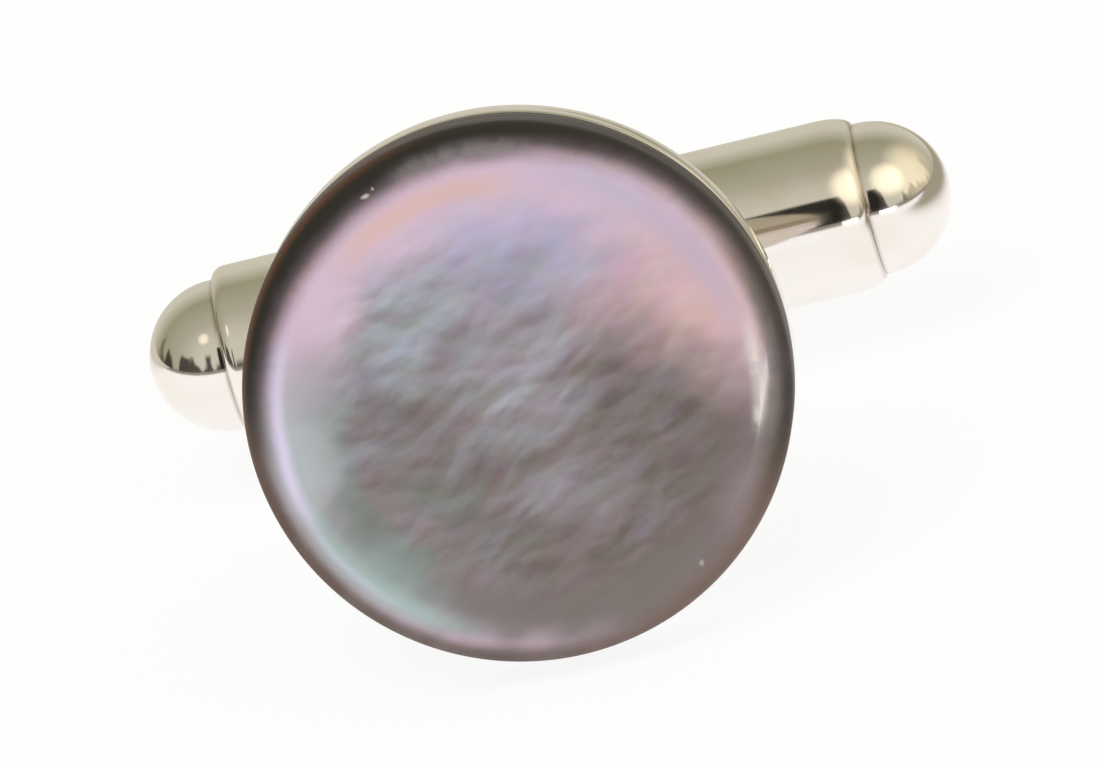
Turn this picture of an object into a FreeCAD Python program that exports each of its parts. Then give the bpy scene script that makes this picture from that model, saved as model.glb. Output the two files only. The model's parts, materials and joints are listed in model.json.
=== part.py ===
"""Bullet-back cufflink at its real size, in millimetres.

A disc of mother-of-pearl is bonded to a silver plate. A two-armed yoke is soldered into the plate's back,
and a capsule-shaped toggle swings between the arms on a flush rivet. A hairpin spring inside the toggle grips
the rivet's flats, so the toggle clicks square to the post, as it is worn, and in line with it, to pass a
buttonhole.

Each piece is drawn in the link's own frame: the origin is the middle of the plate's back face, +Z comes out
through the pearl, X runs along the toggle and Y along the rivet. The finished link is then laid on a table,
where it rests on the plate's rim and on the end of the lower arm, with the pearl facing -Y.
"""
import FreeCAD, Part
import math
import os

# Head: the pearl and its plate are flush at the rim
head_diameter = 14.0
pearl_thickness = 2.2
pearl_crown_rise = 0.22
pearl_edge_roll = 1.0
pearl_back_round = 0.15
adhesive_thickness = 0.1
adhesive_inset = 0.35
plate_thickness = 1.1
recess_depth = 0.3
solder_thickness = 0.08
# Rounding of the plate's edges and of the yoke's outer edges, the two places that touch the table
edge_break = 0.2

# Toggle
barrel_diameter = 4.7
barrel_length = 17.6
barrel_wall = 0.5
barrel_end_round = 0.3
cap_dome_diameter = 4.1
cap_collar_length = 0.15
cap_spigot_length = 2.5
cap_spigot_bevel = 0.25
cap_fit_gap = 0.01

# Post and yoke
pivot_distance = 14.0
arm_width = 4.0
arm_thickness = 1.4
arm_side_clearance = 0.12
toggle_end_clearance = 0.4
foot_thickness = 0.9
foot_margin = 0.25
foot_edge_round = 0.25
foot_fit_gap = 0.02
shoulder_round = 2.0

# Rivet
rivet_diameter = 1.8
rivet_flat_distance = 1.28
rivet_flat_margin = 0.15
rivet_flare_diameter = 2.3
rivet_flare_depth = 0.3
rivet_running_clearance = 0.05

# Hairpin spring
spring_thickness = 0.25
spring_width = 2.2
spring_touch_gap = 0.01
spring_end_gap = 0.2

# How far a cutting shape runs past what it cuts
cut_overrun = 1.0

TOGGLE = FreeCAD.Vector(1, 0, 0)
RIVET = FreeCAD.Vector(0, 1, 0)
POST = FreeCAD.Vector(0, 0, 1)

# Places that several pieces share
cap_dome_radius = cap_dome_diameter / 2
bore_diameter = barrel_diameter - 2 * barrel_wall
toggle_half_length = barrel_length / 2 + cap_collar_length + cap_dome_radius
slot_half_height = barrel_diameter / 2 + arm_side_clearance
yoke_half_height = slot_half_height + arm_thickness
yoke_end = pivot_distance + arm_width / 2
slot_round_middle = pivot_distance - toggle_half_length - toggle_end_clearance + slot_half_height
foot_front = recess_depth - solder_thickness
foot_back = foot_front - foot_thickness
foot_diameter = 2 * (math.hypot(arm_width / 2, yoke_half_height) + foot_margin)
pivot = FreeCAD.Vector(0, 0, -pivot_distance)


def disc(diameter, thickness, back):
    """A round disc on the post's axis, with its back face at the given height."""
    return Part.makeCylinder(diameter / 2, thickness, POST * back, POST)


def bar(middle, axis, diameter, length):
    """A round bar centred on a point."""
    return Part.makeCylinder(diameter / 2, length, middle - axis * (length / 2), axis)


def block(across, height, back, front):
    """A block centred on the post's axis in X and Y, from one height to another."""
    corner = FreeCAD.Vector(-across / 2, -height / 2, back)
    return Part.makeBox(across, height, front - back, corner)


def near(one, other):
    """Whether two lengths are the same but for rounding."""
    return math.isclose(one, other, abs_tol=Part.Precision.confusion() * head_diameter)


def rounded(shape, radius, chosen):
    """The shape with a fillet on each edge that the test picks out."""
    return shape.makeFillet(radius, [edge for edge in shape.Edges if chosen(edge)])


def level(edge, height):
    """Whether an edge lies flat at a height along the post."""
    return near(edge.BoundBox.ZMin, height) and near(edge.BoundBox.ZMax, height)


def rim_at(*heights):
    """A test that picks the whole circles round the post's axis at the given heights."""
    return lambda edge: edge.isClosed() and any(level(edge, height) for height in heights)


def pearl_disc():
    """The mother-of-pearl disc: slightly crowned, with a deep rolled edge at the front."""
    back = plate_thickness + adhesive_thickness
    front = back + pearl_thickness
    radius = head_diameter / 2
    crown_radius = (radius ** 2 + pearl_crown_rise ** 2) / (2 * pearl_crown_rise)
    crown = Part.makeSphere(crown_radius, POST * (front - crown_radius))
    crowned = disc(head_diameter, pearl_thickness, back).common(crown)
    rolled = rounded(crowned, pearl_edge_roll, rim_at(front - pearl_crown_rise))
    return rounded(rolled, pearl_back_round, rim_at(back))


def adhesive_layer():
    """The film of adhesive between pearl and plate, short of the rim all round."""
    return disc(head_diameter - 2 * adhesive_inset, adhesive_thickness, plate_thickness)


def back_plate():
    """The silver plate, with a shallow recess at the back that locates the post's foot."""
    blank = disc(head_diameter, plate_thickness, 0)
    eased = rounded(blank, edge_break, rim_at(0, plate_thickness))
    return eased.cut(disc(foot_diameter + 2 * foot_fit_gap, recess_depth, 0))


def solder_layer():
    """The film of solder between the recess and the foot."""
    return disc(foot_diameter, solder_thickness, foot_front)


def arm_outline():
    """The yoke seen along the rivet: straight sides, and a round end about the pivot."""
    end = bar(pivot, RIVET, arm_width, 2 * yoke_half_height)
    return block(arm_width, 2 * yoke_half_height, -pivot_distance, foot_back).fuse(end).removeSplitter()


def is_shoulder(edge):
    """Whether an edge of the yoke runs along X where an arm's outer face meets the foot."""
    return level(edge, foot_back) and near(edge.BoundBox.YMin, edge.BoundBox.YMax)


def on_outer_face(edge):
    """Whether an edge borders the outer face of an arm, or the round shoulder that leads to it."""
    box = edge.BoundBox
    on_face = near(box.YMin, box.YMax) and near(abs(box.YMin), yoke_half_height)
    on_side = near(box.XMin, box.XMax) and near(abs(box.XMin), arm_width / 2)
    on_shoulder = on_side and isinstance(edge.Curve, Part.Circle)
    return (on_face or on_shoulder) and not near(box.ZMin, box.ZMax)


def slot():
    """The room between the arms: it ends in a half round that follows the toggle's dome."""
    deep_end = bar(POST * -slot_round_middle, TOGGLE, 2 * slot_half_height, arm_width + 2 * cut_overrun)
    mouth = -yoke_end - cut_overrun
    return deep_end.fuse(block(arm_width + 2 * cut_overrun, 2 * slot_half_height, mouth, -slot_round_middle))


def post_yoke():
    """The post: a round foot, and a yoke whose two arms carry the rivet."""
    yoke = rounded(arm_outline(), shoulder_round, is_shoulder)
    yoke = rounded(yoke, edge_break, on_outer_face)
    foot = rounded(disc(foot_diameter, foot_thickness, foot_back), foot_edge_round, rim_at(foot_back))
    return foot.fuse(yoke).removeSplitter().cut(slot()).cut(rivet_blank())


def rivet_blank():
    """The rivet's outside: a round bar whose ends flare to fill the countersinks in the arms."""
    blank = bar(pivot, RIVET, rivet_diameter, 2 * yoke_half_height)
    for side in (RIVET, RIVET * -1):
        mouth = pivot + side * yoke_half_height
        mouth_radius = rivet_flare_diameter / 2
        flare = Part.makeCone(mouth_radius, rivet_diameter / 2, rivet_flare_depth, mouth, side * -1)
        blank = blank.fuse(flare)
    return blank.removeSplitter()


def hinge_rivet():
    """The rivet, squared in the middle where the spring grips it."""
    flat_length = spring_width + 2 * rivet_flat_margin
    collar = bar(pivot, RIVET, rivet_flare_diameter, flat_length)
    square = Part.makeBox(
        rivet_flat_distance, flat_length, rivet_flat_distance,
        pivot - FreeCAD.Vector(rivet_flat_distance, flat_length, rivet_flat_distance) / 2)
    return rivet_blank().cut(collar.cut(square))


def barrel_tube():
    """The toggle's tube, with rounded ends and a cross hole that turns on the rivet."""
    blank = bar(pivot, TOGGLE, barrel_diameter, barrel_length)
    outside = rounded(blank, barrel_end_round, Part.Edge.isClosed)
    bore = bar(pivot, TOGGLE, bore_diameter, barrel_length + 2 * cut_overrun)
    hole_diameter = rivet_diameter + 2 * rivet_running_clearance
    hole = bar(pivot, RIVET, hole_diameter, barrel_diameter + 2 * cut_overrun)
    return outside.cut(bore).cut(hole)


def end_cap(side):
    """A domed plug for one end of the tube: half a ball, a short collar and a spigot."""
    outward = TOGGLE * side
    seam = pivot + outward * (barrel_length / 2)
    inner_end = seam - outward * cap_spigot_length
    spigot = Part.makeCylinder(bore_diameter / 2 - cap_fit_gap, cap_spigot_length, inner_end, outward)
    lead_in = [edge for edge in spigot.Edges if edge.isClosed() and near(edge.CenterOfMass.x, inner_end.x)]
    spigot = spigot.makeChamfer(cap_spigot_bevel, lead_in)
    collar = Part.makeCylinder(cap_dome_radius, cap_collar_length, seam, outward)
    ball_middle = seam + outward * cap_collar_length
    dome = Part.makeSphere(cap_dome_radius, ball_middle)
    dome = dome.common(Part.makeCylinder(cap_dome_diameter, cap_dome_diameter, ball_middle, outward))
    return spigot.fuse(collar).fuse(dome).removeSplitter()


def hairpin(half_gap, fold_middle, open_end):
    """The solid inside a hairpin outline: straight from its open end, and half round at its fold."""
    leaf_run = Part.makeBox(
        open_end - fold_middle, spring_width, 2 * half_gap,
        FreeCAD.Vector(fold_middle, -spring_width / 2, -pivot_distance - half_gap))
    fold = bar(pivot + TOGGLE * fold_middle, RIVET, 2 * half_gap, spring_width)
    return leaf_run.fuse(fold).removeSplitter()


def hairpin_spring():
    """A strip folded into a hairpin, one leaf on either side of the rivet's flats."""
    inner_half_gap = rivet_flat_distance / 2 + spring_touch_gap
    outer_half_gap = inner_half_gap + spring_thickness
    reach = barrel_length / 2 - cap_spigot_length - spring_end_gap
    fold_middle = outer_half_gap - reach
    outside = hairpin(outer_half_gap, fold_middle, reach)
    return outside.cut(hairpin(inner_half_gap, fold_middle, reach + cut_overrun))


def table_placement(shapes):
    """Lays the link on a table, on its rim and lower arm, with the middle of its box over the origin."""
    lean = math.degrees(math.atan2(head_diameter / 2 - yoke_half_height, yoke_end))
    tilt = FreeCAD.Placement(FreeCAD.Vector(), FreeCAD.Rotation(TOGGLE, 90 - lean))
    tilted = Part.makeCompound([shape.transformed(tilt.Matrix) for shape in shapes])
    box = tilted.optimalBoundingBox(False, False)
    shift = FreeCAD.Vector(-box.Center.x, -box.Center.y, -box.ZMin)
    return FreeCAD.Placement(shift, FreeCAD.Rotation()).multiply(tilt)


def pieces():
    """Every piece of the link by name, in the link's own frame."""
    return {
        "pearl_disc": pearl_disc(),
        "adhesive_layer": adhesive_layer(),
        "back_plate": back_plate(),
        "solder_layer": solder_layer(),
        "post_yoke": post_yoke(),
        "hinge_rivet": hinge_rivet(),
        "barrel_tube": barrel_tube(),
        "end_cap_left": end_cap(-1),
        "end_cap_right": end_cap(1),
        "hairpin_spring": hairpin_spring(),
    }


def main():
    os.makedirs("parts", exist_ok=True)
    link = pieces()
    place = table_placement(link.values())
    for name, shape in link.items():
        shape.transformed(place.Matrix).exportStep("parts/" + name + ".step")


if __name__ == "__main__":
    main()
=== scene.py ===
"""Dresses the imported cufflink: a pearl disc on a silver plate, a forked post and a swinging toggle.

Every piece is drawn in millimetres in the link's own frame, where X runs along the toggle, Y along the
rivet and Z out through the pearl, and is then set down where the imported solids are.
"""

import json
import math

import bmesh
import bpy
from bpy.props import FloatProperty, FloatVectorProperty, PointerProperty
from mathutils import Color, Matrix, Vector


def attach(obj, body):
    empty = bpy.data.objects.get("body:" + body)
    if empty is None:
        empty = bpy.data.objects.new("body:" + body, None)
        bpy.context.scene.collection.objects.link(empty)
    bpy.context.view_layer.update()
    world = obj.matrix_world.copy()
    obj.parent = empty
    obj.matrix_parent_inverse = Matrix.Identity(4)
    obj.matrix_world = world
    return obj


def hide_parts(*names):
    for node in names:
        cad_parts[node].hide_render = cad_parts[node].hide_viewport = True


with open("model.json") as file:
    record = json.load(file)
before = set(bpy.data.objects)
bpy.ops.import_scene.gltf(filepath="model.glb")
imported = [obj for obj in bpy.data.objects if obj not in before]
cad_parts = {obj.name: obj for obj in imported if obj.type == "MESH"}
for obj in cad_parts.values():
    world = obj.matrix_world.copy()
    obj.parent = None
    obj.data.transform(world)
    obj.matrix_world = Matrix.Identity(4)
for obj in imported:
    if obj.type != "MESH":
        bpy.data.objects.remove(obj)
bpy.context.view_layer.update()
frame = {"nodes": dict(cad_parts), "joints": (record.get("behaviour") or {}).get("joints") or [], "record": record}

bl_info = {
    "name": "Cufflink",
    "version": (1, 0, 0),
    "blender": (4, 5, 0),
    "location": "3D View > Sidebar > Cufflink",
    "description": "Builds the visible pieces of a bullet-back cufflink round its packed solids",
    "category": "Object",
}

MM = 0.001

seat = next(mount for mount in frame["record"]["mounts"] if mount["name"] == "cuff_seat")
hinge = next(joint for joint in frame["joints"] if joint["name"] == "toggle_swing")
OUT = -Vector(seat["axis"]).normalized()
UP = Vector(hinge["axis"]).normalized()
ALONG = UP.cross(OUT)
SEAT = Vector(seat["pos_m"])
PIVOT = Vector(hinge["pos_m"])


def own_frame(middle):
    """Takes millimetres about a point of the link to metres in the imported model."""
    turn = Matrix((ALONG, UP, OUT)).transposed().to_4x4()
    return Matrix.Translation(middle) @ turn @ Matrix.Scale(MM, 4)


HEAD = own_frame(SEAT)
TOGGLE = own_frame(PIVOT)
ON_RIVET = Matrix.Rotation(-math.pi / 2, 4, "X")
ON_TOGGLE = Matrix.Rotation(math.pi / 2, 4, "Y")


def reach(node, axis, start):
    """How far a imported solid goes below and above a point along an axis, in millimetres."""
    places = [(vertex.co - start).dot(axis) / MM for vertex in frame["nodes"][node].data.vertices]
    return min(places), max(places)


def girth(node, axis, start):
    """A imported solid's largest radius about an axis, in millimetres."""
    arms = (vertex.co - start for vertex in frame["nodes"][node].data.vertices)
    return max((arm - axis * arm.dot(axis)).length for arm in arms) / MM


HEAD_RADIUS = girth("pearl_disc", OUT, SEAT)
PEARL_BACK, PEARL_FRONT = reach("pearl_disc", OUT, SEAT)
PLATE_BACK, PLATE_FRONT = reach("back_plate", OUT, SEAT)
FOOT_RADIUS = girth("solder_layer", OUT, SEAT)
YOKE_END, FOOT_FRONT = reach("post_yoke", OUT, SEAT)
PIVOT_HEIGHT = (PIVOT - SEAT).dot(OUT) / MM
ARM_HALF_WIDTH = PIVOT_HEIGHT - YOKE_END
YOKE_HALF_HEIGHT = reach("hinge_rivet", UP, PIVOT)[1]
RIVET_MOUTH_RADIUS = girth("hinge_rivet", UP, PIVOT)
TUBE_RADIUS = girth("barrel_tube", ALONG, PIVOT)
TUBE_HALF_LENGTH = reach("barrel_tube", ALONG, PIVOT)[1]
CAP_RADIUS = girth("end_cap_right", ALONG, PIVOT)
SPIGOT_END, CAP_TIP = reach("end_cap_right", ALONG, PIVOT)

# Lengths of the making, in millimetres, and shares
DRILL_REACH = 9.0  # half the length of a drill, which passes right through
SPARE = 1.0  # how far a blank stands past the piece that is cut from it
BEDDING = 0.3  # how deep the yoke and its solder run into the foot
SINK = 0.01  # how far the yoke's shoulders are let into the foot
GUARD = 0.05  # from the end of a rounding to the next ring of points
WELD = 1e-4  # points as near as this are one
RIVET_EDGE = 0.08  # from an arm's face down to the edge of the rivet's dome
SHANK_SHARE = 0.78  # the rivet's shank as a share of its mouth
SOLDER_TAPER = 0.15  # what is left of the solder's section at its ends
SHARP = math.radians(35.0)  # the angle from which an edge is sharp
FLAT = math.radians(0.5)  # the angle up to which two faces are one
FLOOR_CURL = 0.2  # radius of the floor's raised edge, in metres
WHITE = (1, 1, 1)

# Pools of colour in the pearl: colour, middle across and up, half width and half height as shares of the
# pearl's radius, and strength
FIGURE = (
    ("bark", 0.45, -0.52, 1.0, 0.85, 0.95),
    ("bark", 0.84, -0.09, 0.4, 0.32, 0.85),
    ("sea", -0.38, 0.3, 0.36, 0.34, 0.9),
    ("mist", 0.0, 0.12, 0.36, 0.42, 0.8),
    ("moss", -0.42, -0.5, 0.5, 0.36, 0.85),
    ("blush", 0.62, 0.42, 0.7, 0.42, 0.95),
    ("heather", 0.02, 0.53, 0.5, 0.32, 0.9),
    ("foam", -0.82, -0.2, 0.36, 0.42, 0.65),
    ("foam", -0.58, -0.72, 0.48, 0.34, 0.55),
    ("mist", 0.2, -0.32, 0.38, 0.26, 0.45),
    ("mist", -0.72, 0.06, 0.24, 0.3, 0.6),
    ("peach", 0.74, 0.26, 0.3, 0.24, 0.3),
    ("bark", 0.43, 0.14, 0.22, 0.28, 0.4),
    ("bark", 0.72, 0.16, 0.18, 0.12, 0.3),
    ("blush", 0.75, 0.03, 0.22, 0.14, 0.2),
    ("dove", 0.0, 0.46, 0.22, 0.18, 0.32),
)
# Arcs of colour near the pearl's rim: colour, distance from the middle and half width as shares of the
# pearl's radius, heading and spread in degrees, and strength
ARCS = (
    ("peach", 0.79, 0.075, 117.0, 32.0, 0.6),
    # Painted highlight in lilac inside the upper right edge
    ("heather", 0.84, 0.1, 52.0, 44.0, 0.5),
    ("mauve", 0.59, 0.11, 226.0, 42.0, 0.55),
    ("mauve", 0.7, 0.08, 256.0, 18.0, 0.4),
    ("bark", 0.78, 0.12, 276.0, 28.0, 0.5),
    ("foam", 0.87, 0.07, 225.0, 42.0, 0.9),
    # The next two: a painted highlight in lilac on the start of the left and lower left rolled edge
    ("glint", 0.875, 0.05, 187.0, 30.0, 0.95),
    ("glint", 0.88, 0.03, 216.0, 32.0, 0.3),
    ("rose", 0.91, 0.03, 254.0, 36.0, 0.2),
    ("moss", 0.945, 0.05, 12.0, 32.0, 0.7),
    # Painted highlight: the white streak on the right rolled edge
    ("gleam", 0.88, 0.042, 6.0, 16.0, 0.5),
    # Painted shade: more of the rolled edge's dark band at the lower right
    ("rim", 0.91, 0.07, 334.0, 22.0, 0.2),
)
# Bright specks on the pearl: middle across and up, half width, half height and strength
SPECKS = (
    (-0.525, 0.735, 0.014, 0.011, 0.6),
    (-0.505, 0.755, 0.01, 0.008, 0.45),
    (0.68, -0.6, 0.02, 0.014, 0.35),
)
# The scuff in the rolled edge, and the sparkle of the painted highlight streak at the pearl's right, each an arc:
# distance, half width, heading and spread
SCUFF = (0.91, 0.06, 103.0, 20.0)
SPARKLE = (0.875, 0.026, 3.0, 13.0)
# The room's warm lamps: heading, elevation and half angle in degrees, and share of the full strength
LAMPS = (
    (36, 40, 30, 1.0),
    (84, 22, 50, 0.8),
    (-32, 48, 10, 0.7),
)


def shade(red, green, blue):
    """A colour given in 8-bit display values, as the share of light that it throws back."""
    return tuple(Color((red / 255, green / 255, blue / 255)).from_srgb_to_scene_linear())


def size(name, description, default):
    """A length that is given in millimetres and kept in metres."""
    return FloatProperty(
        name=name, description=description, default=default * MM, unit="LENGTH", precision=5)


def colour(name, description, default):
    """A colour that is given in 8-bit display values."""
    return FloatVectorProperty(
        name=name, description=description, default=shade(*default), subtype="COLOR", min=0, max=1)


def share(name, description, default):
    """A number from nought to one."""
    return FloatProperty(
        name=name, description=description, default=default, subtype="FACTOR", min=0, max=1)


class CUFFLINK_PG_head(bpy.types.PropertyGroup):
    """Sizes of the pearl, plate, post and rivet that a maker would change."""
    crown_rise: size("Crown", "How far the middle of the pearl stands above its edge", 0.22)
    edge_roll: size("Edge roll", "Radius of the pearl's rolled edge", 1.0)
    back_round: size("Back round", "Radius of the pearl's back edge", 0.15)
    edge_break: size("Edge break", "Rounding of the plate and of the yoke", 0.2)
    recess_depth: size("Recess", "Depth of the plate's recess for the foot", 0.3)
    recess_gap: size("Recess gap", "Room round the foot in the recess", 0.02)
    foot_thickness: size("Foot", "Thickness of the post's foot", 0.9)
    foot_round: size("Foot round", "Rounding of the foot's edge", 0.25)
    arm_thickness: size("Arm", "Thickness of an arm of the yoke", 1.4)
    shoulder_round: size("Shoulder", "Radius where an arm turns into the foot", 2.0)
    solder_fillet: size("Solder fillet", "Radius of the solder between yoke and foot", 0.25)
    slot_end_gap: size("Slot end", "Room between the folded toggle and the end of the slot", 0.4)
    rivet_rise: size("Rivet rise", "How far the peened end of the rivet stands proud", 0.05)
    rivet_gap: size("Rivet gap", "Width of the fine line round the rivet", 0.03)


class CUFFLINK_PG_toggle(bpy.types.PropertyGroup):
    """Sizes of the toggle's tube and caps that a maker would change."""
    wall: size("Wall", "Thickness of the tube's wall", 0.5)
    end_round: size("End round", "Rounding of the tube's ends", 0.3)
    left_lead: size("Left lead", "How far along the tube the rounding runs at the left end", 0.36)
    right_lead: size("Right lead", "How far along the tube the rounding runs at the right end", 0.95)
    cross_hole: size("Cross hole", "Radius of the hole that turns on the rivet", 0.95)
    seam_round: size("Seam round", "Rounding of the cap where it meets the tube", 0.02)
    spigot_gap: size("Spigot gap", "Room between the cap's spigot and the bore", 0.01)
    spigot_bevel: size("Spigot bevel", "Bevel at the spigot's inner end", 0.25)


class CUFFLINK_PG_finish(bpy.types.PropertyGroup):
    """Colours of the pearl and the metals."""
    figure_turn: FloatProperty(
        name="Figure turn", description="How far the pearl's figure is turned on its plate",
        default=math.radians(13.9), subtype="ANGLE", unit="ROTATION")
    rose: colour("Rose", "The pink ring of the pearl", (213, 190, 217))
    dove: colour("Dove", "The grey of the pearl's middle", (128, 124, 129))
    mist: colour("Mist", "Paler grey in the pearl's middle", (161, 158, 172))
    bark: colour("Bark", "The brown grey of the pearl's lower right", (113, 103, 102))
    sea: colour("Sea", "The blue grey of the pearl's left", (163, 170, 184))
    moss: colour("Moss", "The green grey of the pearl's lower left", (122, 129, 128))
    mauve: colour("Mauve", "The warm shadow of the pearl's ripples", (140, 120, 132))
    blush: colour("Blush", "The warm pink of the pearl's right", (212, 181, 195))
    heather: colour("Heather", "The blue lilac near the pearl's top", (184, 180, 213))
    peach: colour("Peach", "The warm arc at the pearl's upper left", (221, 182, 170))
    # Painted highlight: the pale lilac arc on the start of the left rolled edge
    glint: colour("Glint", "The pale lilac arc at the pearl's left", (224, 214, 250))
    # Painted highlight: the white streak on the pearl's right edge; the same white serves the real specks
    gleam: colour("Gleam", "The white streak at the pearl's right, and its specks", (230, 227, 224))
    foam: colour("Foam", "The pale blue green of the pearl's left edge", (162, 187, 190))
    # Painted shade: the dark band that stands in for the dark room mirrored in the pearl's rolled edge
    rim: colour("Rim", "The dark band of the pearl's rolled edge", (45, 41, 38))
    # Painted shade: the paler brown that the rolled edge's dark band turns to below, and its mottles
    umber: colour("Umber", "The brown of the pearl's lower edge", (116, 94, 86))
    # Painted shade: the darker line where the pearl's lower edge turns away
    brink: colour("Brink", "The darker line where the pearl's lower edge turns away", (88, 66, 58))
    skin: colour("Skin", "The warm brown of the pearl's side", (104, 66, 42))
    silver: colour("Silver", "Clean polished silver", (250, 244, 239))
    tarnish: colour("Tarnish", "Silver that has yellowed", (228, 216, 192))
    # Painted shade: the silver darkened behind the plate, on the post and on the toggle's near side
    plate_shade: colour("Patina", "Silver dulled round the sheltered foot of the post", (176, 165, 148))
    grime: colour("Grime", "What gathers in seams", (140, 118, 88))
    polish: share("Polish", "Roughness of the polished silver", 0.08)
    amber: colour("Amber", "The adhesive under the pearl", (132, 96, 52))
    solder: colour("Solder", "The solder under the foot", (190, 186, 178))
    steel: colour("Steel", "The spring inside the toggle", (150, 150, 152))


class CUFFLINK_PG_stage(bpy.types.PropertyGroup):
    """Camera, floor and light."""
    camera_place: FloatVectorProperty(
        name="Camera", description="Where the camera stands", default=(0.02803, -0.28007, 0.11089),
        subtype="TRANSLATION", unit="LENGTH", precision=5)
    camera_aim: FloatVectorProperty(
        name="Aim", description="The point that the camera looks at", default=(0.0, 0.0, 0.0041),
        subtype="TRANSLATION", unit="LENGTH", precision=5)
    camera_roll: FloatProperty(
        name="Roll", description="How far the camera is turned about its line of sight",
        default=math.radians(-15.58), subtype="ANGLE", unit="ROTATION")
    camera_lens: FloatProperty(
        name="Lens", description="Focal length for a sensor 36 mm wide", default=378.0, unit="CAMERA")
    floor_radius: FloatProperty(
        name="Floor", description="Radius of the flat floor", default=0.9, unit="LENGTH")
    floor_glow: share("Floor glow", "How much of the floor's white is its own", 0.9)
    pool: FloatProperty(
        name="Pool", description="How far the white that the metal mirrors reaches over the floor",
        default=0.04, unit="LENGTH")
    table: colour("Table", "What the metal mirrors of the floor further off in front", (128, 118, 108))
    far_left: colour("Far left", "What the metal mirrors of the floor behind, left", (206, 200, 184))
    far_right: colour("Far right", "What the metal mirrors of the floor behind, right", (150, 142, 120))
    wall: colour("Wall", "The paler walls that the metal mirrors", (204, 201, 186))
    slope: colour("Slope", "The front of the ceiling", (174, 171, 154))
    ceiling: colour("Ceiling", "What the metal mirrors from straight above", (154, 152, 127))
    gloom: colour("Gloom", "The dark of the room in front, low down", (40, 38, 36))
    gloom_top: share("Gloom top", "Sine of the angle up to which the front is dark", 0.545)
    lamp: colour("Lamp", "Colour of the warm lamps", (255, 242, 212))
    lamp_strength: FloatProperty(
        name="Lamp strength", description="Brightness of the warm lamps", default=0.7)
    card_power: FloatProperty(
        name="Card", description="Power of the lit card by the link, for the gleam on the pearl's edge",
        default=0.0022, unit="POWER", precision=5)
    key_power: FloatProperty(name="Key", description="Power of the main lamp", default=4.06, unit="POWER")


def sum_method(operation, swapped=False):
    """A method that adds an operator's Math node, with the sides swapped for the reflected form."""

    def method(self, other):
        sides = (other, self) if swapped else (self, other)
        return self.bench.maths(operation, *sides)

    return method


class Wire:
    """An output of a node that takes part in sums: each operator adds a Math node."""
    __add__ = sum_method("ADD")
    __radd__ = sum_method("ADD", swapped=True)
    __sub__ = sum_method("SUBTRACT")
    __rsub__ = sum_method("SUBTRACT", swapped=True)
    __mul__ = sum_method("MULTIPLY")
    __rmul__ = sum_method("MULTIPLY", swapped=True)
    __truediv__ = sum_method("DIVIDE")
    __rtruediv__ = sum_method("DIVIDE", swapped=True)
    __pow__ = sum_method("POWER")
    __rpow__ = sum_method("POWER", swapped=True)

    def __init__(self, bench, socket):
        self.bench = bench
        self.socket = socket

    def __abs__(self):
        return self.bench.maths("ABSOLUTE", self, 0)


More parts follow.
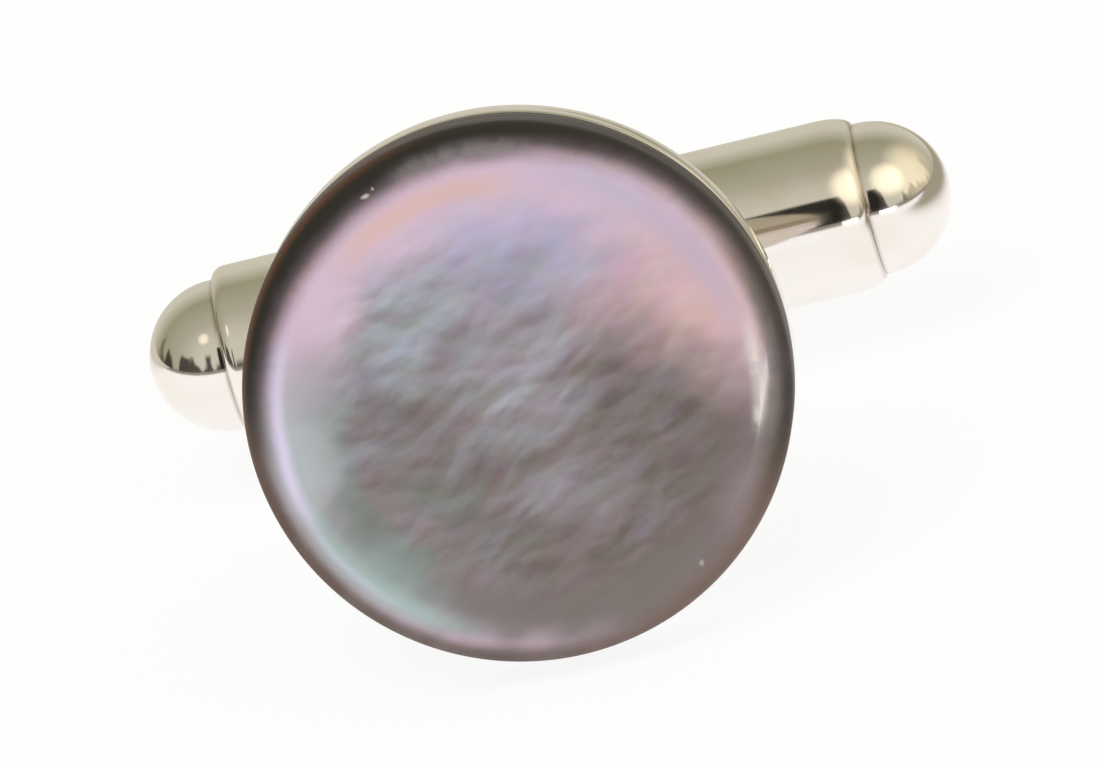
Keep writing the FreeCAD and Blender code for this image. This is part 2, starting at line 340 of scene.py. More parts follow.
class Bench:
    """A node tree under construction."""

    def __init__(self, tree):
        self.tree = tree
        self.tree.nodes.clear()

    def node(self, kind, settings=None, inputs=None, output=0):
        """Adds a node: its settings are set first, then its sockets are given values or links."""
        made = self.tree.nodes.new(kind)
        for name, value in (settings or {}).items():
            if name == "stops":
                self.set_stops(made.color_ramp, value)
            else:
                setattr(made, name, value)
        for name, value in (inputs or {}).items():
            socket = made.inputs[name]
            if isinstance(value, Wire):
                self.tree.links.new(value.socket, socket)
            elif socket.type == "RGBA":
                socket.default_value = (*tuple(value)[:3], 1.0)
            else:
                socket.default_value = value
        return Wire(self, made.outputs[output])

    def set_stops(self, ramp, stops):
        """Gives a colour ramp its stops, each a place and a colour."""
        while len(ramp.elements) < len(stops):
            ramp.elements.new(1.0)
        for element, (place, tint) in zip(ramp.elements, stops):
            element.position = place
            element.color = (*tuple(tint)[:3], 1.0)

    def maths(self, operation, first, second):
        """A sum of two values."""
        return self.node("ShaderNodeMath", {"operation": operation}, {0: first, 1: second})

    def vector(self, operation, first, second):
        """A sum of two vectors."""
        output = "Value" if operation == "DOT_PRODUCT" else "Vector"
        return self.node("ShaderNodeVectorMath", {"operation": operation}, {0: first, 1: second}, output)

    def stretched(self, x, y, z=0.0):
        """A vector from three values."""
        return self.node("ShaderNodeCombineXYZ", None, {"X": x, "Y": y, "Z": z})

    def places(self, middle, *axes):
        """How far a spot lies from a point along each axis, whose length is one over the unit."""
        spot = self.vector("SUBTRACT", self.node("ShaderNodeTexCoord", output="Object"), middle)
        return [self.vector("DOT_PRODUCT", spot, axis) for axis in axes]

    def noise(self, place, detail, rough, seed):
        """Smooth noise about one half, one grain to each unit of place."""
        inputs = {"Vector": place, "W": seed, "Scale": 1.0, "Detail": detail, "Roughness": rough}
        return self.node("ShaderNodeTexNoise", {"noise_dimensions": "4D"}, inputs, "Fac")

    def step(self, value, low, high):
        """Rises smoothly from nought at low to one at high; low may be the larger."""
        inputs = {"Value": value, "From Min": low, "From Max": high}
        return self.node("ShaderNodeMapRange", {"interpolation_type": "SMOOTHSTEP"}, inputs)

    def mix(self, factor, first, second, blend="MIX"):
        """One colour laid over another."""
        settings = {"data_type": "RGBA", "blend_type": blend}
        return self.node("ShaderNodeMix", settings, {0: factor, 6: first, 7: second}, 2)

    def grey(self, value):
        """A value as a grey colour."""
        return self.node("ShaderNodeCombineColor", None, {"Red": value, "Green": value, "Blue": value})

    def bump(self, height, distance, normal=None):
        """A normal that follows a height, whose unit is the distance in metres."""
        inputs = {"Strength": 1.0, "Distance": distance, "Height": height}
        if normal:
            inputs["Normal"] = normal
        return self.node("ShaderNodeBump", None, inputs)

    def surface(self, shader):
        """Ends the tree with a shader."""
        world = isinstance(self.tree.id_data, bpy.types.World)
        last = self.tree.nodes.new("ShaderNodeOutputWorld" if world else "ShaderNodeOutputMaterial")
        self.tree.links.new(shader.socket, last.inputs["Surface"])


def new_finish(name):
    """A new material and the bench for its nodes."""
    material = bpy.data.materials.new(name)
    material.use_nodes = True
    return material, Bench(material.node_tree)


def principled(bench, inputs):
    """The shader that most finishes end in."""
    bench.surface(bench.node("ShaderNodeBsdfPrincipled", None, inputs))


def span(first, second):
    """How far off a spot is that lies so far each way."""
    return (first * first + second * second) ** 0.5


def nacre(finish):
    """Grey mother-of-pearl: a rosy ring round a grey middle, slanting ripples, a rolled edge darkened with painted
    shade, and painted highlights near the edge.
    """
    material, bench = new_finish("nacre")
    cosine, sine = math.cos(finish.figure_turn), math.sin(finish.figure_turn)
    radius = HEAD_RADIUS * MM
    right = (ALONG * cosine - UP * sine) / radius
    above = (ALONG * sine + UP * cosine) / radius
    across, rise, height = bench.places(SEAT, right, above, OUT / MM)
    rim = span(across, rise)

    def flat(scale):
        return bench.stretched(across * scale, rise * scale)

    def grained(length, width):
        return bench.stretched(with_grain * length, over_grain * width)

    def stray(place, detail, rough, seed):
        return bench.noise(place, detail, rough, seed) - 0.5

    slant = math.radians(37.0)
    bend = 0.2 * stray(flat(2.2), 2.0, 0.5, 27.0)
    with_grain = across * math.cos(slant) + rise * math.sin(slant)
    over_grain = rise * math.cos(slant) - across * math.sin(slant) + bend
    ripple = 0.16 * stray(grained(5.0, 9.0), 1.0, 0.5, 16.0)
    swept = across + 0.24 * stray(flat(1.7), 2.0, 0.5, 3.0) + ripple
    lifted = rise + 0.24 * stray(flat(1.7), 2.0, 0.5, 8.0) + ripple
    uneven = stray(flat(4.0), 3.0, 0.5, 20.0)

    def pool(middle_across, middle_rise, half_width, half_height):
        away = span((swept - middle_across) / half_width, (lifted - middle_rise) / half_height)
        return bench.step(away, 1.0, 0.15)

    def arc(distance, half_width, heading, spread):
        turn = math.radians(heading)
        towards = (across * math.cos(turn) + rise * math.sin(turn)) / rim
        none, full = (math.cos(math.radians(angle)) for angle in (spread, spread * 0.3))
        off = abs(rim - distance + 0.03 * uneven)
        return bench.step(towards, none, full) * bench.step(off, half_width, 0.0)

    # The ring, pools and arcs of colour, with painted highlights and painted shade among the arcs
    ring = bench.step(span(swept - 0.04, lifted + 0.16), 0.66, 0.86)
    tone = bench.mix(ring, finish.dove, finish.rose)
    for name, *place, strength in FIGURE:
        tone = bench.mix(pool(*place) * strength, tone, getattr(finish, name))
    for name, *place, strength in ARCS:
        tone = bench.mix(arc(*place) * strength, tone, getattr(finish, name))

    def relief(length, width, offset, detail, seed):
        shaded = bench.stretched((with_grain + 0.4 * offset) * length, (over_grain + offset) * width)
        lit = bench.noise(grained(length, width), detail, 0.5, seed)
        return lit - bench.noise(shaded, detail, 0.5, seed)

    def lumps(length, width, offset, seed):
        def hollow(along, over):
            place = bench.stretched(along * length + seed, over * width)
            settings = {"voronoi_dimensions": "2D", "feature": "SMOOTH_F1"}
            return bench.node(
                "ShaderNodeTexVoronoi", settings, {"Vector": place, "Scale": 1.0, "Smoothness": 0.3})

        return hollow(with_grain + 0.4 * offset, over_grain + offset) - hollow(with_grain, over_grain)

    # The ripples, as light and shade with a little colour
    inner = bench.step(rim - 0.07 * across, 0.85, 0.58)
    calm = inner * (1 - 0.7 * bench.step(rise + 0.35 * across, 0.15, 0.6))
    wave = relief(4.5, 8.0, 0.04, 0.0, 1.0) * 0.7 + relief(6.5, 13.0, 0.022, 0.3, 5.0) * 0.58
    wave = wave * (1 - 0.35 * bench.step(rim, 0.15, 0.6))
    fine = lumps(8.0, 14.0, 0.018, 5.0) * 0.41 + relief(15.0, 28.0, 0.01, 1.0, 9.0) * 0.3
    shine = (wave + fine) * calm
    verdant, cool = (stray(grained(6.0, 10.0), 2.5, 0.6, seed) * inner for seed in (33.0, 38.0))
    lustre = bench.node("ShaderNodeCombineColor", None, {
        "Red": 1 + shine * 0.95 - verdant * 0.17 - cool * 0.27,
        "Green": 1 + shine * 1.12 + verdant * 0.34,
        "Blue": 1 + shine * 1.32 - verdant * 0.17 + cool * 0.27})
    tone = bench.mix(1.0, tone, lustre, "MULTIPLY")
    hue = bench.noise(grained(3.2, 6.5), 3.0, 0.55, 12.0)
    tone = bench.mix(bench.step(hue, 0.52, 0.7) * calm * 0.2, tone, finish.heather)
    tone = bench.mix(bench.step(hue, 0.48, 0.3) * calm * 0.45, tone, finish.mauve)

    # The rolled edge darkened with painted shade for the dark room it mirrors, paler brown below, and with a warm
    # line of the shell's side at the left
    nibble = stray(flat(11.0), 3.0, 0.55, 24.0)
    edge = rim + 0.03 * uneven + 0.03 * nibble + 0.026 * rise
    edge = edge - 0.018 * across * bench.step(rise, -0.35, 0.0)
    edge = edge - 0.045 * across * rise * bench.step(rise, -0.5, 0.0)
    dark = 0.8 * bench.step(edge, 0.86, 0.955) + 0.2 * bench.step(edge, 0.9, 1.0)
    # Paler mottles in the painted shade of the rolled edge
    shade_mottle = bench.step(nibble, -0.1, 0.1) * bench.step(edge, 0.97, 0.9)
    shadow = bench.mix(shade_mottle, finish.rim, finish.umber)
    shadow = bench.mix(bench.step(rise, 0.0, -0.5), shadow, finish.umber)
    tone = bench.mix(dark, tone, shadow)
    # Painted shade: a darker line where the lower edge turns away
    below = bench.step(rise, 0.0, -0.45) * bench.step(across, 0.45, 0.0)
    tone = bench.mix(bench.step(rim, 0.915, 0.965) * below * 0.75, tone, finish.brink)
    side = bench.step(PEARL_FRONT - height, 0.8, 1.1)
    line = bench.step(rim, 0.97, 0.993) * bench.step(across, -0.2, -0.75) * (1 - 0.8 * side)
    tone = bench.mix(line * 0.75, tone, finish.skin)

    # The scuff, the specks, and the sparkle of the painted highlight streak
    scuff = arc(*SCUFF) * (0.4 + 0.6 * bench.step(nibble, -0.12, 0.08))
    tone = bench.mix(scuff * 0.75, tone, finish.dove)
    for *place, strength in SPECKS:
        tone = bench.mix(pool(*place) * strength, tone, finish.gleam)
    tone = bench.mix(arc(*SPARKLE) * bench.step(nibble, -0.02, 0.1) * 0.8, tone, finish.gleam)

    # The layers of the shell on the pearl's side
    strata = bench.noise(bench.stretched(across * 1.6, rise * 1.6, height * 9.0), 4.0, 0.7, 30.0)
    warmth = (0.08 + 0.22 * bench.step(strata, 0.6, 0.4)) * bench.step(across, 0.05, -0.6)
    tone = bench.mix(side * warmth, tone, finish.skin)
    tone = bench.mix(side * (0.2 + 0.5 * bench.step(strata, 0.45, 0.68)), tone, finish.dove)
    principled(bench, {
        "Base Color": tone, "Roughness": 0.34 + 0.25 * dark, "IOR": 1.3,
        "Normal": bench.bump(wave * calm, 0.004 * MM),
        "Coat Weight": 0.95 - 0.9 * bench.step(edge, 0.91, 0.97),
        "Coat Roughness": 0.14, "Coat IOR": 1.5})
    return material


def polished_silver(finish, name, seams=()):
    """Silver polished by hand: faint waves, fine lines along the piece, yellowing, painted shade behind the plate,
    and grime in seams.
    """
    material, bench = new_finish(name)
    x, y, z = bench.places(PIVOT, ALONG / MM, UP / MM, OUT / MM)
    cloud = bench.noise(bench.stretched(x * 0.3, y * 0.3, z * 0.3), 3.0, 0.55, 1.0)
    swell = bench.noise(bench.stretched(x * 0.35, y * 0.6, z * 0.6), 1.0, 0.5, 5.0)
    lines = bench.noise(bench.stretched(x * 0.5, y * 14.0, z * 14.0), 2.0, 0.6, 9.0)
    smear = bench.noise(bench.stretched(x * 0.9, y * 0.9, z * 0.9), 4.0, 0.6, 14.0)
    tone = bench.mix(bench.step(cloud, 0.45, 0.75) * 0.3, finish.silver, finish.tarnish)
    # Painted shade behind the plate, fading out over 7 mm towards the toggle, mottled by the smear
    below_plate = z + PIVOT_HEIGHT
    near_plate_shade = bench.step(below_plate, -7.0, -0.5) * bench.step(below_plate, 0.25, 0.05)
    tone = bench.mix(near_plate_shade * (0.35 + 0.4 * smear), tone, finish.plate_shade)
    for seam in seams:
        near = bench.step(abs(abs(x) - seam), 0.12, 0.02)
        tone = bench.mix(near * (0.1 + 0.5 * smear), tone, finish.grime)
    roughness = finish.polish + 0.06 * bench.step(smear, 0.5, 0.75) + 0.03 * bench.step(lines, 0.55, 0.7)
    normal = bench.bump(lines, 0.0004 * MM, bench.bump(swell, 0.012 * MM))
    principled(bench, {"Base Color": tone, "Metallic": 1.0, "Roughness": roughness, "Normal": normal})
    return material


def adhesive(finish):
    """Clear amber adhesive with a few paler streaks."""
    material, bench = new_finish("adhesive")
    x, y = bench.places(SEAT, ALONG / MM, UP / MM)
    streak = bench.noise(bench.stretched(x * 0.8, y * 0.8), 3.0, 0.6, 2.0)
    tone = bench.mix(bench.step(streak, 0.45, 0.7) * 0.5, finish.amber, finish.peach)
    principled(bench, {"Base Color": tone, "Roughness": 0.2 + 0.2 * streak, "IOR": 1.5})
    return material


def satin_metal(tint, name):
    """Metal with a satin face: a fine even grain and a slow change of tone."""
    material, bench = new_finish(name)
    x, y, z = bench.places(PIVOT, ALONG / MM, UP / MM, OUT / MM)
    grain = bench.noise(bench.stretched(x * 1.5, y * 22.0, z * 22.0), 3.0, 0.6, 4.0)
    tone = bench.mix(1.0, tint, bench.grey(0.8 + 0.3 * grain), "MULTIPLY")
    normal = bench.bump(grain, 0.001 * MM)
    roughness = 0.3 + 0.2 * grain
    principled(bench, {"Base Color": tone, "Metallic": 1.0, "Roughness": roughness, "Normal": normal})
    return material


def silver_finish(finish):
    """The silver of the head, made once."""
    return bpy.data.materials.get("head_silver") or polished_silver(finish, "head_silver")


def toggle_finish(finish):
    """The silver of the toggle, with its two seams, made once."""
    made = bpy.data.materials.get("toggle_silver")
    return made or polished_silver(finish, "toggle_silver", (TUBE_HALF_LENGTH,))


def arc_points(middle, radius, start, end, steps):
    """Points along part of a circle, from one heading to another in degrees."""
    angles = [math.radians(start + (end - start) * step / steps) for step in range(steps + 1)]
    return [(middle[0] + radius * math.cos(a), middle[1] + radius * math.sin(a)) for a in angles]


def line_points(start, end, steps):
    """Points along a straight line, without its last."""
    return [tuple(low + (high - low) * step / steps for low, high in zip(start, end))
            for step in range(steps)]


def turned(outline, count, closed=False):
    """A piece turned about Z from pairs of radius and height; a closed outline makes a ring."""
    work = bmesh.new()
    rings = []
    for radius, height in outline:
        places = count if radius > WELD else 1
        angles = [2 * math.pi * step / count for step in range(places)]
        spots = [(radius * math.cos(a), radius * math.sin(a), height) for a in angles]
        rings.append([work.verts.new(spot) for spot in spots])
    followers = rings[1:] + rings[:1] if closed else rings[1:]
    for low, high in zip(rings, followers):
        for step in range(count):
            corners = []
            for ring, place in ((low, step), (low, step + 1), (high, step + 1), (high, step)):
                corner = ring[place % len(ring)]
                if corner not in corners:
                    corners.append(corner)
            if len(corners) > 2:
                work.faces.new(corners)
    bmesh.ops.recalc_face_normals(work, faces=work.faces)
    return work


def pressed(outline, low, high, plane):
    """A flat outline in the named plane, pressed into a solid between two places on the third axis."""
    work = bmesh.new()
    spots = {"YZ": lambda a, b: (low, a, b), "XZ": lambda a, b: (a, low, b)}[plane]
    face = work.faces.new([work.verts.new(spots(a, b)) for a, b in outline])
    made = bmesh.ops.extrude_face_region(work, geom=[face])
    shift = Vector((high - low, 0, 0)) if plane == "YZ" else Vector((0, high - low, 0))
    moved = [item for item in made["geom"] if isinstance(item, bmesh.types.BMVert)]
    bmesh.ops.translate(work, verts=moved, vec=shift)
    bmesh.ops.recalc_face_normals(work, faces=work.faces)
    return work


def laid(work, turn):
    """A solid turned or moved by a matrix."""
    bmesh.ops.transform(work, matrix=turn, verts=work.verts)
    return work


def drill(radius, count, middle=0.0):
    """A rod along the rivet, for a hole right through a piece."""
    corners = [(0, -DRILL_REACH), (radius, -DRILL_REACH), (radius, DRILL_REACH), (0, DRILL_REACH)]
    return laid(turned(corners, count), Matrix.Translation((0, 0, middle)) @ ON_RIVET)


def new_object(work, name):
    """An object with a mesh of its own."""
    mesh = bpy.data.meshes.new(name)
    work.to_mesh(mesh)
    work.free()
    made = bpy.data.objects.new(name, mesh)
    bpy.context.scene.collection.objects.link(made)
    return made


def settled(helper, *others):
    """The helper's mesh with its modifiers taken in; the helpers are removed."""
    graph = bpy.context.evaluated_depsgraph_get()
    result = bmesh.new()
    mesh = bpy.data.meshes.new_from_object(helper.evaluated_get(graph))
    result.from_mesh(mesh)
    bpy.data.meshes.remove(mesh)
    for spare in (helper, *others):
        bpy.data.meshes.remove(spare.data)
    return result


def combined(first, second, how):
    """Two solids joined, cut or kept where they overlap."""
    body, tool = new_object(first, "body"), new_object(second, "tool")
    step = body.modifiers.new("combine", "BOOLEAN")
    step.operation = how
    step.object = tool
    step.solver = "EXACT"
    result = settled(body, tool)
    bmesh.ops.remove_doubles(result, verts=result.verts, dist=WELD)
    bmesh.ops.dissolve_limit(result, angle_limit=FLAT, verts=result.verts, edges=result.edges)
    return result


def eased(work, width):
    """A solid with its sharp edges rounded."""
    body = new_object(work, "body")
    step = body.modifiers.new("ease", "BEVEL")
    step.width = width
    step.segments = 4
    step.limit_method = "ANGLE"
    step.angle_limit = SHARP
    step.use_clamp_overlap = False
    step.miter_outer = "MITER_ARC"
    return settled(body)


def finished_piece(name, work, place, body, replaced, material):
    """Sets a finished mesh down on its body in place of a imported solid."""
    made = new_object(work, name)
    made.data.transform(place)
    made.data.shade_smooth()
    made.data.set_sharp_from_angle(angle=SHARP)
    made.data.materials.append(material)
    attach(made, body)
    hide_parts(replaced)


class CUFFLINK_OT_pearl(bpy.types.Operator):
    """Turns the mother-of-pearl disc"""
    bl_idname = "cufflink.pearl"
    bl_label = "Pearl disc"

    def execute(self, context):
        sizes = context.scene.cufflink_head
        roll, rise, back_round = sizes.edge_roll / MM, sizes.crown_rise / MM, sizes.back_round / MM
        crown = (HEAD_RADIUS ** 2 + rise ** 2) / (2 * rise)
        crown_middle = PEARL_FRONT - crown
        roll_reach = HEAD_RADIUS - roll
        roll_height = crown_middle + math.sqrt((crown - roll) ** 2 - roll_reach ** 2)
        meet = math.degrees(math.atan2(roll_height - crown_middle, roll_reach))
        side_start = PEARL_BACK + back_round
        outline = line_points((0, PEARL_BACK), (HEAD_RADIUS - back_round, PEARL_BACK), 8)
        outline += arc_points((HEAD_RADIUS - back_round, side_start), back_round, -90, 0, 5)
        outline += line_points((HEAD_RADIUS, side_start + GUARD), (HEAD_RADIUS, roll_height), 6)
        outline += arc_points((roll_reach, roll_height), roll, 0, meet, 24)
        outline += arc_points((0, crown_middle), crown, meet, 90, 40)[1:]
        outline[-1] = (0, PEARL_FRONT)
        finished_piece("pearl", turned(outline, count=224), HEAD, "head", "pearl_disc",
                       nacre(context.scene.cufflink_finish))
        return {"FINISHED"}


class CUFFLINK_OT_plate(bpy.types.Operator):
    """Turns the silver plate with its recess"""
    bl_idname = "cufflink.plate"
    bl_label = "Back plate"

    def execute(self, context):
        sizes = context.scene.cufflink_head
        ease = sizes.edge_break / MM
        recess = FOOT_RADIUS + sizes.recess_gap / MM
        floor = PLATE_BACK + sizes.recess_depth / MM
        lip = 0.05
        outline = line_points((0, PLATE_FRONT), (HEAD_RADIUS - ease, PLATE_FRONT), 6)
        outline += arc_points((HEAD_RADIUS - ease, PLATE_FRONT - ease), ease, 90, 0, 7)
        outline += arc_points((HEAD_RADIUS - ease, PLATE_BACK + ease), ease, 0, -90, 7)
        outline += line_points((HEAD_RADIUS - ease - GUARD, PLATE_BACK), (recess + lip, PLATE_BACK), 6)
        outline += arc_points((recess + lip, PLATE_BACK + lip), lip, -90, -180, 4)
        outline += [(recess, floor), (0, floor)]
        finished_piece("plate", turned(outline, count=224), HEAD, "head", "back_plate",
                       silver_finish(context.scene.cufflink_finish))
        return {"FINISHED"}


class CUFFLINK_OT_yoke(bpy.types.Operator):
    """Builds the forked post on its round foot"""
    bl_idname = "cufflink.yoke"
    bl_label = "Post and yoke"

    def execute(self, context):
        sizes = context.scene.cufflink_head
        fillet, shoulder = sizes.solder_fillet / MM, sizes.shoulder_round / MM
        ease, foot_round = sizes.edge_break / MM, sizes.foot_round / MM
        foot_back = FOOT_FRONT - sizes.foot_thickness / MM
        inner = YOKE_HALF_HEIGHT - sizes.arm_thickness / MM
        slot_middle = PIVOT_HEIGHT + CAP_TIP + sizes.slot_end_gap / MM - inner
        bed = foot_back + SINK
        root_height = bed + BEDDING
        bend_across, bend_height = YOKE_HALF_HEIGHT - shoulder, foot_back - shoulder
        half = [(YOKE_HALF_HEIGHT, YOKE_END), (YOKE_HALF_HEIGHT, bend_height)]
        half += arc_points((bend_across, bend_height), shoulder, 0, 80, 16)[1:]
        half += [(half[-1][0], root_height)]
        outside = half + [(-across, height) for across, height in reversed(half)]
        inside = [(-inner, YOKE_END), (-inner, slot_middle)]
        inside += arc_points((0, slot_middle), inner, 180, 0, 40)[1:]
        inside += [(inner, YOKE_END)]
        fork = pressed(outside + inside, -ARM_HALF_WIDTH, ARM_HALF_WIDTH, "YZ")
        plan = arc_points((0, PIVOT_HEIGHT), ARM_HALF_WIDTH, 180, 360, 56)
        plan += [(ARM_HALF_WIDTH, FOOT_FRONT + SPARE), (-ARM_HALF_WIDTH, FOOT_FRONT + SPARE)]
        spread = YOKE_HALF_HEIGHT + SPARE
        fork = eased(combined(fork, pressed(plan, -spread, spread, "XZ"), "INTERSECT"), ease)

        fillet_across = bend_across + 2 * math.sqrt(shoulder * fillet)
        meet = math.degrees(math.atan2(bed - fillet - bend_height, fillet_across - bend_across))
        solder = arc_points((fillet_across, bed - fillet), fillet, 180 + meet, 90, 10)
        solder += [(fillet_across, root_height), (bend_across, root_height), (bend_across, bend_height)]
        width = ARM_HALF_WIDTH - ease
        for side in (1, -1):
            strip = pressed([(side * across, height) for across, height in solder], -width, width, "YZ")
            root = Vector((side * bend_across, root_height))
            ends = [face for face in strip.faces if abs(face.normal.x) > 0.9]
            for end in bmesh.ops.extrude_discrete_faces(strip, faces=ends)["faces"]:
                for vertex in end.verts:
                    vertex.co.x *= ARM_HALF_WIDTH / width
                    vertex.co.yz = root.lerp(vertex.co.yz, SOLDER_TAPER)
            fork = combined(fork, strip, "UNION")

        rim = arc_points((FOOT_RADIUS - foot_round, foot_back + foot_round), foot_round, 0, -90, 6)
        foot = turned([(0, FOOT_FRONT), (FOOT_RADIUS, FOOT_FRONT)] + rim + [(0, foot_back)], count=160)
        post = combined(foot, fork, "UNION")
        mouth = RIVET_MOUTH_RADIUS + sizes.rivet_gap / MM
        post = combined(post, drill(mouth, 96, PIVOT_HEIGHT), "DIFFERENCE")
        finished_piece("yoke", post, HEAD, "head", "post_yoke",
                       silver_finish(context.scene.cufflink_finish))
        return {"FINISHED"}


class CUFFLINK_OT_rivet(bpy.types.Operator):
    """Turns the hinge rivet with its peened ends"""
    bl_idname = "cufflink.rivet"
    bl_label = "Hinge rivet"

    def execute(self, context):
        sizes = context.scene.cufflink_head
        rise = sizes.rivet_rise / MM
        inner = YOKE_HALF_HEIGHT - sizes.arm_thickness / MM
        shank = RIVET_MOUTH_RADIUS * SHANK_SHARE
        sink_start, sink_end = inner + 0.05, inner + 0.35
        edge_height = YOKE_HALF_HEIGHT - RIVET_EDGE
        dome = [(RIVET_MOUTH_RADIUS, edge_height)]
        for out, _ in arc_points((0, 0), 1, 0, 90, 12)[1:]:
            lift = (RIVET_EDGE + rise) * (1 - out ** 4)
            dome.append((RIVET_MOUTH_RADIUS * out, edge_height + lift))
        dome[-1] = (0, YOKE_HALF_HEIGHT + rise)
        half = [(shank, 0), (shank, sink_start), (RIVET_MOUTH_RADIUS, sink_end)] + dome
        outline = [(radius, -height) for radius, height in reversed(half)] + half[1:]
        rivet = laid(turned(outline, count=96), ON_RIVET)
        finished_piece("rivet", rivet, TOGGLE, "head", "hinge_rivet",
                       silver_finish(context.scene.cufflink_finish))
        return {"FINISHED"}


class CUFFLINK_OT_tube(bpy.types.Operator):
    """Turns the toggle's tube with its rounded ends and cross hole"""
    bl_idname = "cufflink.tube"
    bl_label = "Toggle tube"

    def execute(self, context):
        sizes = context.scene.cufflink_toggle
        ease = sizes.end_round / MM
        left, right = sizes.left_lead / MM, sizes.right_lead / MM
        bore = TUBE_RADIUS - sizes.wall / MM
        end = TUBE_HALF_LENGTH

        def rounded(lead):
            quarter = arc_points((TUBE_RADIUS - ease, 0), ease, 0, 90, 12)
            return [(radius, end - lead + lead * on / ease) for radius, on in quarter] + [(bore, end)]

        first, last = 2 * GUARD + left - end, end - right - 2 * GUARD
        outside = [(radius, -height) for radius, height in reversed(rounded(left))]
        outside += line_points((TUBE_RADIUS, first), (TUBE_RADIUS, last), 24)
        outside += [(TUBE_RADIUS, last)] + rounded(right)
        tube = laid(turned(outside, count=192, closed=True), ON_TOGGLE)
        tube = combined(tube, drill(sizes.cross_hole / MM, 64), "DIFFERENCE")
        finished_piece("tube", tube, TOGGLE, "toggle", "barrel_tube",
                       toggle_finish(context.scene.cufflink_finish))
        return {"FINISHED"}


class CUFFLINK_OT_caps(bpy.types.Operator):
    """Turns the two domed caps of the toggle"""
    bl_idname = "cufflink.caps"
    bl_label = "Toggle caps"

    def execute(self, context):
        sizes = context.scene.cufflink_toggle
        seam_round, bevel = sizes.seam_round / MM, sizes.spigot_bevel / MM
        spigot = TUBE_RADIUS - sizes.wall / MM - sizes.spigot_gap / MM
        seam = TUBE_HALF_LENGTH
        outline = [(0, SPIGOT_END), (spigot - bevel, SPIGOT_END)]
        outline += [(spigot, SPIGOT_END + bevel), (spigot, seam)]
        outline += arc_points((CAP_RADIUS - seam_round, seam + seam_round), seam_round, -90, 0, 5)
        outline += arc_points((0, CAP_TIP - CAP_RADIUS), CAP_RADIUS, 0, 90, 40)
        outline[-1] = (0, CAP_TIP)
        material = toggle_finish(context.scene.cufflink_finish)
        for name, node, facing in (("cap_right", "end_cap_right", 1), ("cap_left", "end_cap_left", -1)):
            cap = laid(turned(outline, count=160), Matrix.Rotation(facing * math.pi / 2, 4, "Y"))
            finished_piece(name, cap, TOGGLE, "toggle", node, material)
        return {"FINISHED"}


class CUFFLINK_OT_layers(bpy.types.Operator):
    """Gives the adhesive, the solder and the spring their finishes"""
    bl_idname = "cufflink.layers"
    bl_label = "Layers and spring"

    def execute(self, context):
        finish = context.scene.cufflink_finish
        finishes = {
            "adhesive_layer": adhesive(finish),
            "solder_layer": satin_metal(finish.solder, "solder"),
            "hairpin_spring": satin_metal(finish.steel, "spring_steel"),
        }
        for node, material in finishes.items():
            mesh = frame["nodes"][node].data
            mesh.materials.clear()
            mesh.materials.append(material)
        return {"FINISHED"}


def floor_finish(stage):
    """White paper with the link's shadow, which the metal mirrors as white nearby and beige beyond."""
    material, bench = new_finish("paper")
    camera, glossy, through = (
        bench.node("ShaderNodeLightPath", output=name)
        for name in ("Is Camera Ray", "Is Glossy Ray", "Is Transmission Ray"))
    x, y = bench.places((0, 0, 0), (1 / stage.pool, 0, 0), (0, 1 / stage.pool, 0))
    behind = bench.step(y, 0.3, 1.0)
    beside = bench.step(x, 0.3, 0.75) * bench.step(y, -0.4, 0.1)
    near = bench.step(span(x * 0.5, y), 1.8, 0.9) * (1 - behind) * (1 - beside)
    tint = bench.mix(behind, stage.table, stage.far_left)
    tint = bench.mix(beside, tint, stage.far_right)
    tint = bench.mix(bench.step(camera + near, 0.0, 1.0), tint, WHITE)
    seen = bench.step(camera + glossy + through, 0.0, 1.0)
    sheet = bench.node("ShaderNodeBsdfDiffuse", None, {"Color": WHITE})
    glow = bench.node("ShaderNodeEmission", None, {"Color": tint, "Strength": 1.0})
    parts = {0: seen * stage.floor_glow, 1: sheet, 2: glow}
    bench.surface(bench.node("ShaderNodeMixShader", None, parts))
    return material


def around(heading, elevation, distance):
    """A point round the link: heading 0 is in front of the pearl, and 90 to its right."""
    across, up = math.radians(heading), math.radians(elevation)
    flat = distance * math.cos(up)
    return (flat * math.sin(across), -flat * math.cos(across), distance * math.sin(up))


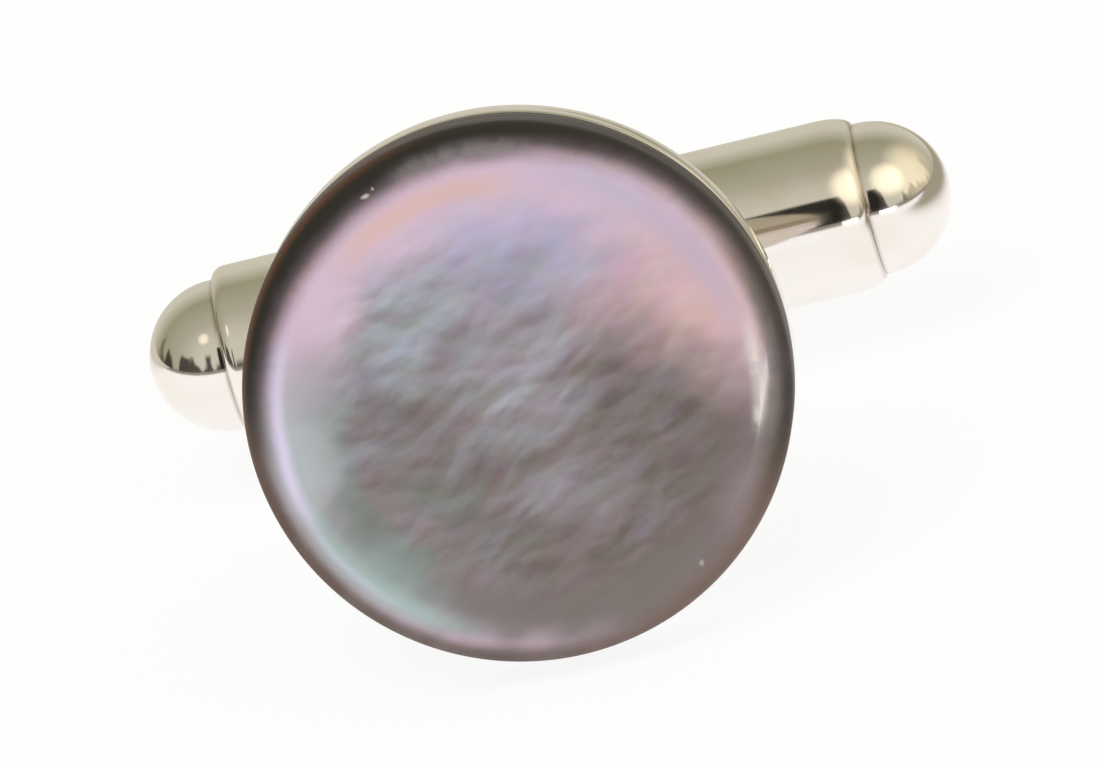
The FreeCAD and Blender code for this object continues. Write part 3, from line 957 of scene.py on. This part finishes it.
def studio(stage):
    """A room with a beige ceiling, paler walls, soft lamps and a dark low band in front of the pearl."""
    world = bpy.data.worlds.new("studio")
    world.use_nodes = True
    bench = Bench(world.node_tree)
    ray = bench.node("ShaderNodeTexCoord", output="Generated")
    height = bench.vector("DOT_PRODUCT", ray, (0, 0, 1))
    front = bench.vector("DOT_PRODUCT", ray, (0, -1, 0))
    stops = [(0.0, stage.wall), (0.07, stage.wall), (0.28, stage.ceiling), (0.64, stage.slope),
             (0.9, stage.wall)]
    room = bench.node("ShaderNodeValToRGB", {"stops": stops}, {"Fac": front * 0.5 + 0.5})
    skyline = bench.noise(bench.vector("MULTIPLY", ray, (3.2, 3.2, 0)), 1.0, 0.5, 2.0)
    aside = bench.vector("DOT_PRODUCT", ray, around(84, 0, 1.0))
    straight = bench.step(aside, -0.016, 0.002) * bench.step(aside, 0.4, 0.2)
    top = stage.gloom_top * (straight + (1 - straight) * 0.7 * bench.step(skyline, 0.4, 0.62))
    blur = 0.02 + 0.06 * (1 - straight)
    low = bench.step(height - top, blur, 0 - blur) * bench.step(front, -0.6, -0.2)
    tone = bench.mix(low * (0.9 + 0.1 * straight), room, stage.gloom)
    warm = 0
    for heading, elevation, half_angle, strength in LAMPS:
        towards = bench.vector("DOT_PRODUCT", ray, around(heading, elevation, 1.0))
        glow = bench.step(towards, math.cos(math.radians(half_angle)), 1.0)
        warm = warm + stage.lamp_strength * strength * glow
    tone = bench.mix(warm, tone, stage.lamp, "ADD")
    bench.surface(bench.node("ShaderNodeBackground", None, {"Color": tone, "Strength": 1.0}))
    bpy.context.scene.world = world


def area_lamp(name, place, width, height, power, tint):
    """A soft light that faces the link and isn't seen itself."""
    data = bpy.data.lights.new(name, "AREA")
    data.shape = "RECTANGLE"
    data.size = width
    data.size_y = height
    data.energy = power
    data.color = tint
    lamp = bpy.data.objects.new(name, data)
    lamp.location = place
    lamp.rotation_euler = (-Vector(place)).to_track_quat("-Z", "Y").to_euler()
    lamp.visible_camera = False
    bpy.context.scene.collection.objects.link(lamp)
    return lamp


class CUFFLINK_OT_stage(bpy.types.Operator):
    """Sets up the floor, the lights and the camera"""
    bl_idname = "cufflink.stage"
    bl_label = "Stage"

    def execute(self, context):
        scene = context.scene
        stage = scene.cufflink_stage
        flat = stage.floor_radius
        sweep = [(0, 0), (flat * 0.05, 0), (flat * 0.3, 0)]
        sweep += arc_points((flat, FLOOR_CURL), FLOOR_CURL, -90, -70, 8)
        floor = new_object(turned(sweep, count=96), "floor")
        floor.data.shade_smooth()
        floor.data.materials.append(floor_finish(stage))
        studio(stage)
        key = area_lamp(
            "key", place=around(heading=-20, elevation=58, distance=0.9), width=0.5, height=0.5,
            power=stage.key_power, tint=(0.94, 0.94, 1.0))
        key.visible_glossy = False
        card = area_lamp(
            "card", place=(0.0260, -0.0454, 0.0017), width=0.024, height=0.003,
            power=stage.card_power, tint=(1.0, 0.99, 0.97))
        card.visible_diffuse = False
        data = bpy.data.cameras.new("camera")
        data.lens = stage.camera_lens
        data.sensor_width = 36.0
        camera = bpy.data.objects.new("camera", data)
        place, aim = Vector(stage.camera_place), Vector(stage.camera_aim)
        camera.location = place
        sight = (aim - place).to_track_quat("-Z", "Y").to_matrix()
        camera.rotation_euler = (sight @ Matrix.Rotation(stage.camera_roll, 3, "Z")).to_euler()
        scene.collection.objects.link(camera)
        scene.camera = camera
        scene.view_settings.view_transform = "Standard"
        return {"FINISHED"}


OPERATORS = (
    CUFFLINK_OT_pearl,
    CUFFLINK_OT_plate,
    CUFFLINK_OT_yoke,
    CUFFLINK_OT_rivet,
    CUFFLINK_OT_tube,
    CUFFLINK_OT_caps,
    CUFFLINK_OT_layers,
    CUFFLINK_OT_stage,
)
GROUPS = {
    "cufflink_head": CUFFLINK_PG_head,
    "cufflink_toggle": CUFFLINK_PG_toggle,
    "cufflink_finish": CUFFLINK_PG_finish,
    "cufflink_stage": CUFFLINK_PG_stage,
}


class CUFFLINK_PT_panel(bpy.types.Panel):
    """Lists the pieces of the cufflink"""
    bl_idname = "CUFFLINK_PT_panel"
    bl_label = "Cufflink"
    bl_space_type = "VIEW_3D"
    bl_region_type = "UI"
    bl_category = "Cufflink"

    def draw(self, context):
        for operator in OPERATORS:
            self.layout.operator(operator.bl_idname)
        for name, group in GROUPS.items():
            box = self.layout.box()
            for field in group.__annotations__:
                box.prop(getattr(context.scene, name), field)


def register():
    """Makes the classes and the settings known."""
    for cls in (*GROUPS.values(), *OPERATORS, CUFFLINK_PT_panel):
        bpy.utils.register_class(cls)
    for name, group in GROUPS.items():
        setattr(bpy.types.Scene, name, PointerProperty(type=group))


def unregister():
    """Takes the settings and the classes away again."""
    for name in GROUPS:
        delattr(bpy.types.Scene, name)
    for cls in (CUFFLINK_PT_panel, *reversed(OPERATORS), *reversed(GROUPS.values())):
        bpy.utils.unregister_class(cls)


def main():
    """Registers the classes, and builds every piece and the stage."""
    register()
    for operator in OPERATORS:
        getattr(bpy.ops.cufflink, operator.bl_idname.split(".")[1])()


if __name__ == "__main__":
    main()
